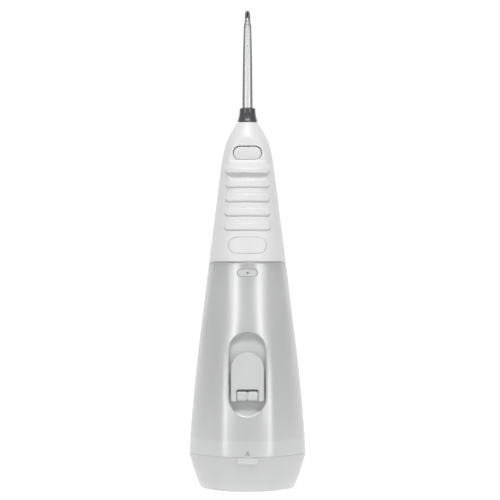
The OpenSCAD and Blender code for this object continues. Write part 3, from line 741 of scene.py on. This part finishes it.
def make_handle():
    """Both shells, cut from one body at the seam, with openings for buttons, lights and cover."""
    body = handle_body()
    cut(body, skin_cutter(EJECT_W / 2 + 0.42, EJECT_H / 2 + 0.34, EJECT_Z + 0.28, 4.5, 0.2,
                          lambda x, z: facet_depth(x)))
    cut(body, skin_cutter(COVER_W / 2 + 0.1, COVER_H / 2 + 0.1, COVER_Z, 3.2, 0.15))
    for z, _ in FRONT_BUTTONS.values():
        cut(body, front_cutter(0, z, BUTTON_R + 0.3, 4, 0.3))
    for i in (-1, 0, 1):
        cut(body, front_cutter(i * LED_PITCH, LED_Z, LED_R + 0.05, 4, 0.15))
    front = body.copy()
    front.data = body.data.copy()
    bpy.context.scene.collection.objects.link(front)
    far, heights, half_gap = 60, (100, 240), 0.02
    cut(body, box_solid((-far, far), (SHELL_SEAM_Y - half_gap, far), heights))
    cut(front, box_solid((-far, far), (-far, SHELL_SEAM_Y + half_gap), heights))
    body.name = "handle_back_cover"
    front.name = "handle_front_cover"
    dress(body, "handle", WHITE, "handle_rear_shell")
    dress(front, "handle", WHITE, "handle_front_shell")


def skin_plate(name, half_w, half_h, z0, face, back, edge_r):
    """Plate with round ends that follows the back, between two depths below the skin."""
    shares = (0.985, 0.8, 0.6, 0.4, 0.25)
    profile = [(-half_h * f, face) for f in shares if half_h * f > edge_r * 1.2]
    profile += edge_profile(face, back - 0.3, edge_r)
    profile += [(-0.3, back), (-half_h * shares[0], back)]
    rings = []
    for grow, inward in profile:
        outline = [(x, z0 + rise) for x, rise in pill_outline(half_w, half_h, grow)]
        rings.append([(x, -skin_depth(x, z) + inward, z) for x, z in outline])
    return from_rings(name, rings, zipped=True)


def make_eject_button():
    """Crowned button whose face leans a little downwards."""
    half_w, half_h, stand, back, lean = EJECT_W / 2, EJECT_H / 2, 0.65, 2.6, 0.05
    profile = [(-half_h * 0.985, -stand), (-half_h * 0.7, -stand), (-half_h * 0.4, -stand + 0.05)]
    profile += edge_profile(-stand + 0.12, back, 0.55)
    profile += [(-half_h * 0.985, back)]
    rings = []
    for grow, depth in profile:
        rings.append([
            (x, -facet_depth(x) + depth - lean * rise, EJECT_Z + rise)
            for x, rise in pill_outline(half_w, half_h, grow)
        ])
    button = from_rings("eject_key", rings, zipped=True)
    dress(button, "eject", WHITE, "eject_button")


def make_port_cover():
    """Soft plate on the back with a strap that ends in a wider head."""
    plate = skin_plate("cover_plate", COVER_W / 2, COVER_H / 2, COVER_Z, 0.0, 1.4, 0.35)
    place = rear_frame(COVER_Z)
    low, high = -3.5, -2.5
    strap = [
        [place(x, depth, rise) for x, rise in ((-w, low), (w, low), (w, high), (-w, high))]
        for w, depth in ((2, 0.9), (2, 9.3), (2.9, 9.3), (2.6, 10.1))
    ]
    obj = join("port_flap", plate, from_rings("strap", strap))
    dress(obj, "cover", WHITE, "port_cover")


def groove_cutter(path, y, z0):
    """Cutter for a fine groove in a front key, along points in (x, rise)."""
    rings = []
    for k, (x, rise) in enumerate(path):
        ax, az = path[max(k - 1, 0)]
        bx, bz = path[min(k + 1, len(path) - 1)]
        run = math.hypot(bx - ax, bz - az)
        sx, sz = (bz - az) / run * GROOVE_HALF_W, -(bx - ax) / run * GROOVE_HALF_W
        rings.append([
            (x - sx, y + 1, z0 + rise - sz), (x - sx, y - GROOVE_DEEP, z0 + rise - sz),
            (x + sx, y - GROOVE_DEEP, z0 + rise + sz), (x + sx, y + 1, z0 + rise + sz),
        ])
    return from_rings("cutter", rings)


def key_marks(key):
    """Usual on-off mark, or a ring with two gaps and a short bar for the spray modes."""
    def arc(r, start, stop):
        angles = [math.radians(a) for a in range(start, stop + 1, 10)]
        return [(r * math.sin(a), r * math.cos(a)) for a in angles]

    if key == "power":
        return [arc(1.6, 40, 320), [(0, 0.5), (0, 2.1)]]
    return [arc(1.8, 0, 170), arc(1.8, 180, 350), [(0, -0.5), (0, 0.5)]]


def make_front_button(key):
    """Round button with a dished face and its mark."""
    z0, face_y = FRONT_BUTTONS[key]
    dish = 0.42
    face = ((0.02, 0.45), (1.2, dish), (2.4, 0.28), (3.3, 0.06), (3.8, 0.0), (4.15, 0.05),
            (4.38, 0.2), (BUTTON_R, 0.5))
    profile = [(r, face_y - drop) for r, drop in face]
    profile += [(BUTTON_R, BUTTON_BACK_Y), (0.02, BUTTON_BACK_Y)]
    rings = [[(r * c, y, z0 + r * s) for c, s in circle(56)] for r, y in profile]
    button = from_rings(key + "_key", rings)
    for path in key_marks(key):
        cut(button, groove_cutter(path, face_y - dish, z0))
    dress(button, key, WHITE, key + "_button")


# ---------------------------------------------------------------------------------------------
# Reservoir and base cap
# ---------------------------------------------------------------------------------------------

def make_reservoir():
    """Hollow frosted body, its top rows bent to the parting line, with the openings of its back."""
    cols = columns(BODY_COLUMNS)
    gap, bend_z, rim_r = 0.3, 112, 0.5
    top = [parting_on(phi) - gap for phi in cols]
    foot_z = SEAM_Z + SEAM_HALF_GAP

    def shifted(z, i):
        return z + (top[i] - PART_Z) * ease((z - bend_z) / (PART_Z - bend_z))

    def row(z, inset=0.0):
        return [(*skin(phi, shifted(z, i), inset), shifted(z, i)) for i, phi in enumerate(cols)]

    rings = []
    for inset, drop in fillet(SEAM_EDGE_R)[::-1]:
        rings.append([(*skin(phi, foot_z + drop, inset), foot_z + drop) for phi in cols])
    rings += [row(z) for z in levels((foot_z + 0.9, bend_z, 2.2), (bend_z, PART_Z - rim_r, 1.2))]
    for inset, drop in fillet(rim_r)[1:]:
        rings.append([(*skin(phi, z - drop, inset), z - drop) for phi, z in zip(cols, top)])
    rings += [row(z, WALL) for z in reversed(levels((foot_z, bend_z, 4), (bend_z, PART_Z, 3)))]
    body = from_rings("reservoir_shell", rings, loop=True)

    place = rear_frame(POCKET_Z)
    mouth = []
    for grow, inward in hole_profile(9, 0.45):
        ring = []
        for x, rise in pill_outline(POCKET_W / 2, POCKET_H / 2, grow):
            px, py, pz = place(x, 0, rise)
            ring.append((px, (-skin_depth(px, pz) if inward < 2 else py) + inward, pz))
        mouth.append(ring)
    cut(body, from_rings("cutter", mouth))
    cut(body, skin_cutter(RELEASE_W / 2 + 0.13, RELEASE_H / 2 + 0.13, RELEASE_Z, 6, 0.12))
    cut(body, arrow_cutter())
    dress(body, "reservoir", FROSTED, "reservoir_body")


def make_base_cap():
    """Hollow cap with a recessed foot and a collar that stands up inside the reservoir."""
    cols = columns(BODY_COLUMNS)
    foot_r, lid, collar_out, collar_in = 1.1, SEAM_Z - SEAM_HALF_GAP, 2.3, 3.9

    def ring(z, inset):
        return [(*skin(phi, z, inset), z) for phi in cols]

    rings = [ring(1.2, 9.5), ring(1.2, 5.0), ring(0.0, 5.0), ring(0.0, 2.5)]
    rings += [ring(z, inset) for inset, z in fillet(foot_r, 6)[::-1]]
    rings += [ring(z, 0) for z in levels((2.6, SEAM_Z - 0.75, 1.8))]
    rings += [ring(lid - drop, inset) for inset, drop in fillet(SEAM_EDGE_R)[1:]]
    rings += [ring(z, collar_out) for z in (lid, 23, 26, 28.5, 30.1)]
    rings += [ring(30.5, collar_out + 0.4), ring(30.5, collar_in - 0.4), ring(30.1, collar_in)]
    rings += [ring(z, collar_in) for z in (28, 24, SEAM_Z - 1)]
    rings += [ring(z, 2.2) for z in (SEAM_Z - 2.2, 14, 8, 4)]
    rings += [ring(2.9, 2.6), ring(2.4, 3.4), ring(2.4, 10)]
    dress(from_rings("base_cap", rings), "base", FROSTED, "reservoir_base")


def make_base_tab():
    """Catch tab that stands out of the cap's back."""
    half_w, low, high, back = 5.9, 17.0, 20.5, 0.3
    profile = [(-1.7, -0.11), (-1.0, -0.11)] + edge_profile(-0.1, back, 0.12, 3) + [(-1.7, back)]
    depth = skin_depth(0, high)
    rings = [
        [(x, -depth + inward, z) for x, z in rounded_rect(half_w, low, high, 1.5, 0.5, grow)]
        for grow, inward in profile
    ]
    dress(from_rings("catch_tab", rings), "base", DOOR_PLASTIC, "base_tab")


def arrow_cutter():
    """Small triangle sunk into the shell over the catch tab."""
    low, high, half = 21.8, 24.9, 1.7
    corners = [(-half, low), (half, low), (0, high)]
    centre = (0, (2 * low + high) / 3)
    rings = []
    for scale, inward in ((1.1, -0.5), (1.03, 0.0), (0.98, 0.1), (0.94, 1.05), (0.5, 1.1)):
        ring = []
        for a, b in zip(corners, corners[1:] + corners[:1]):
            for t in (0.06, 0.35, 0.65, 0.94):
                x = centre[0] + (a[0] + (b[0] - a[0]) * t - centre[0]) * scale
                z = centre[1] + (a[1] + (b[1] - a[1]) * t - centre[1]) * scale
                ring.append((x, -skin_depth(x, z) + inward, z))
        rings.append(ring)
    return from_rings("cutter", rings)


def make_release_pad():
    """Small oval pad with a round dimple."""
    pad = skin_plate("release_key", RELEASE_W / 2, RELEASE_H / 2, RELEASE_Z, -0.25, 2.0, 0.4)
    depth = skin_depth(0, RELEASE_Z)
    dimple = [
        [(r * c, -depth + inward, RELEASE_Z + r * s) for c, s in circle(24)]
        for r, inward in ((0.75, -1.5), (0.75, -0.25), (0.62, -0.05), (0.55, 0.3), (0.5, 1.0))
    ]
    cut(pad, from_rings("cutter", dimple))
    dress(pad, "release", DOOR_PLASTIC, "release_pad")


# ---------------------------------------------------------------------------------------------
# Springs
# ---------------------------------------------------------------------------------------------

def make_eject_spring():
    """Coil between the eject latch and the shell."""
    radius, wire, turns, low_y, high_y, z = 1.5, 0.17, 3.5, 8.0, 11.3, 200.0
    steps = round(turns * 20)
    rings = []
    for i in range(steps + 1):
        a = 2 * math.pi * turns * i / steps
        y = low_y + wire + (high_y - low_y - 2 * wire) * i / steps
        ring = []
        for c, s in circle(8):
            r = radius + wire * c
            ring.append((r * math.cos(a), y + wire * s, z + r * math.sin(a)))
        rings.append(ring)
    coil = dress(from_rings("latch_coil", rings), None, STEEL, "eject_spring")
    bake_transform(coil)


def make_release_spring():
    """Leaf with its foot on the reservoir's wall, which bends above it behind the release pad."""
    half_w, back, front, low, foot_top, high = 2.0, -18.1, -18.4, 120.0, 122.0, 130.5
    root = -skin_depth(0, low) + WALL + 0.5
    climb = levels((low, high, 0.5))
    outline = [(root, low)] + [(back, z) for z in climb]
    outline += [(front, z) for z in reversed(climb) if z > foot_top]
    outline += [(front, foot_top), (root, foot_top)]
    rings = [[(x, y, z) for y, z in outline] for x in (-half_w, half_w)]
    leaf = dress(from_rings("key_leaf", rings), None, STEEL, "release_spring")
    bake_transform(leaf)


# ---------------------------------------------------------------------------------------------
# Fill door and its recess
# ---------------------------------------------------------------------------------------------

def tray_floor(rise):
    """Depth of the recess floor: a step down under the hinge, then a slope that leads out."""
    step = TUB_FLOOR + (TUB_DEEP - TUB_FLOOR) * ease((-8.2 - rise) / 1.2)
    out = 1.2 * ease((-17.4 - rise) / 8)
    return step - out


def make_recess():
    """Tray behind the fill door with its rim and the fill opening, and the two hinge lugs."""
    place = rear_frame(POCKET_Z)
    half_w, half_h = POCKET_W / 2, POCKET_H / 2
    inward_rings = [-0.8, -1.4, -2.2, -3.2, -4.4, -5.8, -7.4, -9.0, -10.4, -11.05]
    thick = 1.3

    def level(grow, depth):
        return [place(x, depth, rise) for x, rise in pill_outline(half_w, half_h, grow)]

    def floor(grow, drop, least=0.0):
        outline = pill_outline(half_w, half_h, grow)
        return [place(x, max(tray_floor(rise) + drop, least), rise) for x, rise in outline]

    rings = [floor(g, thick) for g in reversed(inward_rings)]
    rings += [floor(TUB_RIM - 0.5, thick), floor(TUB_RIM, 0.8)]
    rings += [level(TUB_RIM, TUB_FACE + 0.3), level(TUB_RIM - 0.3, TUB_FACE), level(0.0, TUB_FACE)]
    rings += [floor(0.0, -0.8, TUB_FACE + 0.02), floor(-0.25, -0.25, TUB_FACE + 0.04)]
    rings += [floor(g, 0) for g in inward_rings]
    tray = from_rings("tray", rings, zipped=True)

    mouth = ((0.4, 2.0 - TUB_FLOOR), (0.4, 0.0), (0.12, 0.12), (0, 0.4), (0, 4))
    corner = 4
    hole = []
    for grow, below in mouth:
        outline = rounded_rect(FILL_W / 2, -FILL_H / 2, FILL_H / 2, corner, corner, grow)
        hole.append([place(x, TUB_FLOOR + below, FILL_RISE + rise) for x, rise in outline])
    cut(tray, from_rings("cutter", hole, zipped=True))

    turn = [math.radians(15 * k) for k in range(7)]
    lugs = []
    for side, ends in ((-1, LUG_ENDS), (1, LUG_ENDS), (1, WEB_ENDS)):
        rings = []
        for inset, x in ends:
            low, high, face, r = -2.9 + inset, 2.6 - inset, 1.1 + inset, 1.2
            path = [(high - r + r * math.sin(a), face + r - r * math.cos(a)) for a in turn[::-1]]
            path += [(low + r - r * math.sin(a), face + r - r * math.cos(a)) for a in turn]
            path += [(low, TUB_DEEP + 0.2), (high, TUB_DEEP + 0.2)]
            rings.append([place(side * x, depth, HINGE_RISE + rise) for rise, depth in path])
        lugs.append(from_rings("lug", rings))
    recess = join("door_recess", tray, *lugs)
    dress(recess, "reservoir", DOOR_PLASTIC, "fill_port_frame")


def make_door():
    """Crowned door leaf with an arched top and a notch for the lugs, and its two hinge knuckles."""
    place = rear_frame(POCKET_Z)
    profile = [(-g, DOOR_FACE) for g in (9.5, 8.2, 6.6, 5.0, 3.4, 2.2, 1.2)]
    profile += edge_profile(DOOR_FACE, DOOR_BACK - 0.2, 0.6)
    profile += [(-0.3, DOOR_BACK), (-9.5, DOOR_BACK)]
    rings = []
    for grow, depth in profile:
        crown = 0.45 if depth < DOOR_BACK - 0.3 else 0.0
        outline = rounded_rect(DOOR_HALF_W, DOOR_LOW, DOOR_HIGH, 1.2, DOOR_HALF_W, grow, arc=16)
        rings.append([
            place(x, depth - crown * (1 - (x / DOOR_HALF_W) ** 2), rise) for x, rise in outline
        ])
    leaf = from_rings("leaf", rings, zipped=True)

    notch = []
    edge = [(0.4, DOOR_FACE - 0.3), (0.1, DOOR_FACE), (0, DOOR_FACE + 0.4)]
    for grow, depth in [(0.4, -4.0)] + edge + [(0, 8)]:
        outline = rounded_rect(SLOT_HALF_W, DOOR_LOW - 4, SLOT_HIGH, 0.5, 1.0, grow)
        notch.append([place(x, depth, rise) for x, rise in outline])
    cut(leaf, from_rings("cutter", notch))

    inner, outer = SLOT_HALF_W, DOOR_HALF_W
    ends = ((1.5, inner), (1.75, inner + 0.25), (1.75, outer - 0.25), (1.5, outer))
    knuckles = []
    for side in (-1, 1):
        rings = []
        for r, x in ends:
            turn = [(HINGE_DEPTH + r * s, HINGE_RISE + r * c) for c, s in circle(32)]
            rings.append([place(side * x, depth, rise) for depth, rise in turn])
        knuckles.append(from_rings("knuckle", rings))
    door = join("door_leaf", leaf, *knuckles)
    dress(door, "door", DOOR_PLASTIC, "fill_door")


# ---------------------------------------------------------------------------------------------
# Collar and jet tip
# ---------------------------------------------------------------------------------------------

def make_collar():
    """Flared collar, turned about the axis, with a sleeve that runs down into the neck."""
    low, high, flare_r, top_r, bore_r = 219.4, 227.7, 6.15, 4.8, STEM_R + 0.25
    sleeve_low, steps = 207.5, 16
    profile = [(COLLAR_R, sleeve_low), (COLLAR_R, low - 0.01)]
    profile += [(5.85, low), (6.05, low + 0.12), (flare_r, low + 0.3)]
    for i in range(steps + 1):
        r = top_r + (flare_r - 0.05 - top_r) * (1 - i / steps) ** 2.2
        profile.append((r, low + 0.45 + (high - 1.15 - low) * i / steps))
    profile += [(top_r - 0.08 * k ** 2, high - 0.7 + 0.17 * k) for k in (1, 2, 3)]
    profile += [(3.98, high - 0.04), (3.8, high), (bore_r + 0.25, high)]
    profile += [(bore_r, high - 0.2), (bore_r, sleeve_low)]
    rings = [[(r * c, r * s, z) for c, s in circle(96)] for r, z in profile]
    collar = from_rings("swivel_collar", rings, loop=True)
    dress(collar, "collar", DARK, "tip_collar")


def make_tip():
    """Clear tube: tapered stem with a groove for its seal, bend, nozzle, and the bore back."""
    bend_z = TIP_TOP - NOZZLE_R - BEND_R
    straight = [
        (STEM_R - 0.3, TAIL_Z), (STEM_R, TAIL_Z + 0.4), (STEM_R, 191), (2.5, 191.05),
        (2.5, 192.25), (STEM_R, 192.3), (STEM_R, 218), (STEM_R, 229), (3.0, 238), (2.88, 248),
        (2.75, 259), (2.55, 267), (2.32, 274.4), (2.28, bend_z - 1.0), (2.15, bend_z - 0.7),
        (1.95, bend_z - 0.45), (NECK_R, bend_z),
    ]
    path = [((0, z), 0.0, r) for r, z in straight]
    steps = 12

    def on_bend(k, r):
        a = math.pi / 2 * k / steps
        return (BEND_R * (1 - math.cos(a)), bend_z + BEND_R * math.sin(a)), a, r

    for k in range(1, steps + 1):
        path.append(on_bend(k, NOZZLE_R + (NECK_R - NOZZLE_R) * (1 - k / steps) ** 1.5))
    nozzle = ((1.38, 2.0), (1.3, 4.0), (1.24, 4.4), (1.05, 4.6), (0.62, 4.6),
              (TIP_BORE_R, 4.4), (TIP_BORE_R, 0.0))
    path += [((BEND_R + y, bend_z + BEND_R), math.pi / 2, r) for r, y in nozzle]
    path += [on_bend(k, TIP_BORE_R + 0.05) for k in range(steps - 1, -1, -1)]
    path += [((0, z), 0.0, TIP_BORE_R) for z in (bend_z - 8, 230, TAIL_Z)]
    rings = []
    for (y, z), turn, r in path:
        ring = []
        for c, s in circle(64):
            across = r * s
            ring.append((r * c, y + across * math.cos(turn), z - across * math.sin(turn)))
        rings.append(ring)
    dress(from_rings("jet_nozzle", rings, loop=True), "tip", CLEAR, "jet_tip")


# ---------------------------------------------------------------------------------------------
# Studio, in metres and watts
# ---------------------------------------------------------------------------------------------

MIDDLE_Z = 0.14
WORLD_STRENGTH = 0.22
KEY_POWER, LOW_STRIP_POWER, HIGH_STRIP_POWER = 13.2, 1.2, 0.9
CAMERA_PLACE = (0.0015, -1.25, 0.1425)


def make_backdrop():
    """Pale floor that curves up into a wall behind the object. It glows, and less in front of
    the object, which keeps undersides in shadow."""
    half, near, far, rise, bend = 3.0, -3.0, 1.6, 3.0, 0.7
    profile = [(near, 0.0), (far - bend, 0.0)]
    profile += [
        (far - bend + bend * math.sin(math.radians(a)), bend * (1 - math.cos(math.radians(a))))
        for a in range(6, 91, 6)
    ]
    profile.append((far, rise))
    points = [(x / MM, y / MM, z / MM) for y, z in profile for x in (-half, half)]
    faces = [(2 * i, 2 * i + 1, 2 * i + 3, 2 * i + 2) for i in range(len(profile) - 1)]
    sweep = make_object("backdrop", points, faces)
    sweep.data.shade_smooth()
    mat, tree, shader = new_material("paper")
    vary_color(tree, shader, noise(tree, 30), (0.34, 0.34, 0.34), (0.36, 0.36, 0.36))
    shader.inputs["Roughness"].default_value = 0.9
    shader.inputs["Specular IOR Level"].default_value = 0.1
    shader.inputs["Emission Color"].default_value = (1, 1, 1, 1)
    place = tree.nodes.new("ShaderNodeTexCoord")
    split = tree.nodes.new("ShaderNodeSeparateXYZ")
    glow = tree.nodes.new("ShaderNodeMapRange")
    glow.inputs["From Min"].default_value, glow.inputs["From Max"].default_value = -0.35, -0.03
    glow.inputs["To Min"].default_value, glow.inputs["To Max"].default_value = 0.1, 0.82
    tree.links.new(place.outputs["Object"], split.inputs[0])
    tree.links.new(split.outputs["Y"], glow.inputs["Value"])
    tree.links.new(glow.outputs["Result"], shader.inputs["Emission Strength"])
    sweep.data.materials.append(mat)


def area_light(name, place, size, power, tilt=0.0):
    """Rectangular light, in metres, aimed at the object's middle and turned by tilt degrees."""
    lamp = bpy.data.lights.new(name, "AREA")
    lamp.shape = "RECTANGLE"
    lamp.size, lamp.size_y = size
    lamp.energy = power
    obj = bpy.data.objects.new(name, lamp)
    obj.location = place
    aim = (Vector((0, 0, MIDDLE_Z)) - Vector(place)).to_track_quat("-Z", "Y")
    obj.rotation_euler = (aim @ Quaternion((0, 0, 1), math.radians(tilt))).to_euler()
    bpy.context.scene.collection.objects.link(obj)


def make_studio():
    """Even white surroundings, a soft light from above, strips for the reservoir's long
    reflections, and a level camera behind the object."""
    make_backdrop()
    scene = bpy.context.scene
    scene.view_settings.view_transform = "Standard"
    world = bpy.data.worlds.new("studio")
    world.use_nodes = True
    background = world.node_tree.nodes["Background"]
    background.inputs["Color"].default_value = (1, 1, 1, 1)
    background.inputs["Strength"].default_value = WORLD_STRENGTH
    scene.world = world
    area_light("key", (0, -0.8, 1.25), (0.9, 0.4), KEY_POWER)
    for side in (-1, 1):
        area_light("low_strip", (side * 1.0, -0.77, 0.06), (0.22, 0.38), LOW_STRIP_POWER)
        area_light("high_strip", (side * 0.55, -0.77, 0.30), (0.22, 0.36), HIGH_STRIP_POWER,
                   side * 45)

    camera = bpy.data.cameras.new("camera")
    camera.lens = 150
    camera.sensor_width = 36
    obj = bpy.data.objects.new("camera", camera)
    obj.location = CAMERA_PLACE
    obj.rotation_euler = (math.radians(90), 0, 0)
    scene.collection.objects.link(obj)
    scene.camera = obj


make_studio()
make_handle()
make_eject_button()
make_port_cover()
for key in FRONT_BUTTONS:
    make_front_button(key)
make_reservoir()
make_base_cap()
make_base_tab()
make_eject_spring()
make_release_spring()
make_release_pad()
make_recess()
make_door()
make_collar()
make_tip()
finish_cad_nodes()
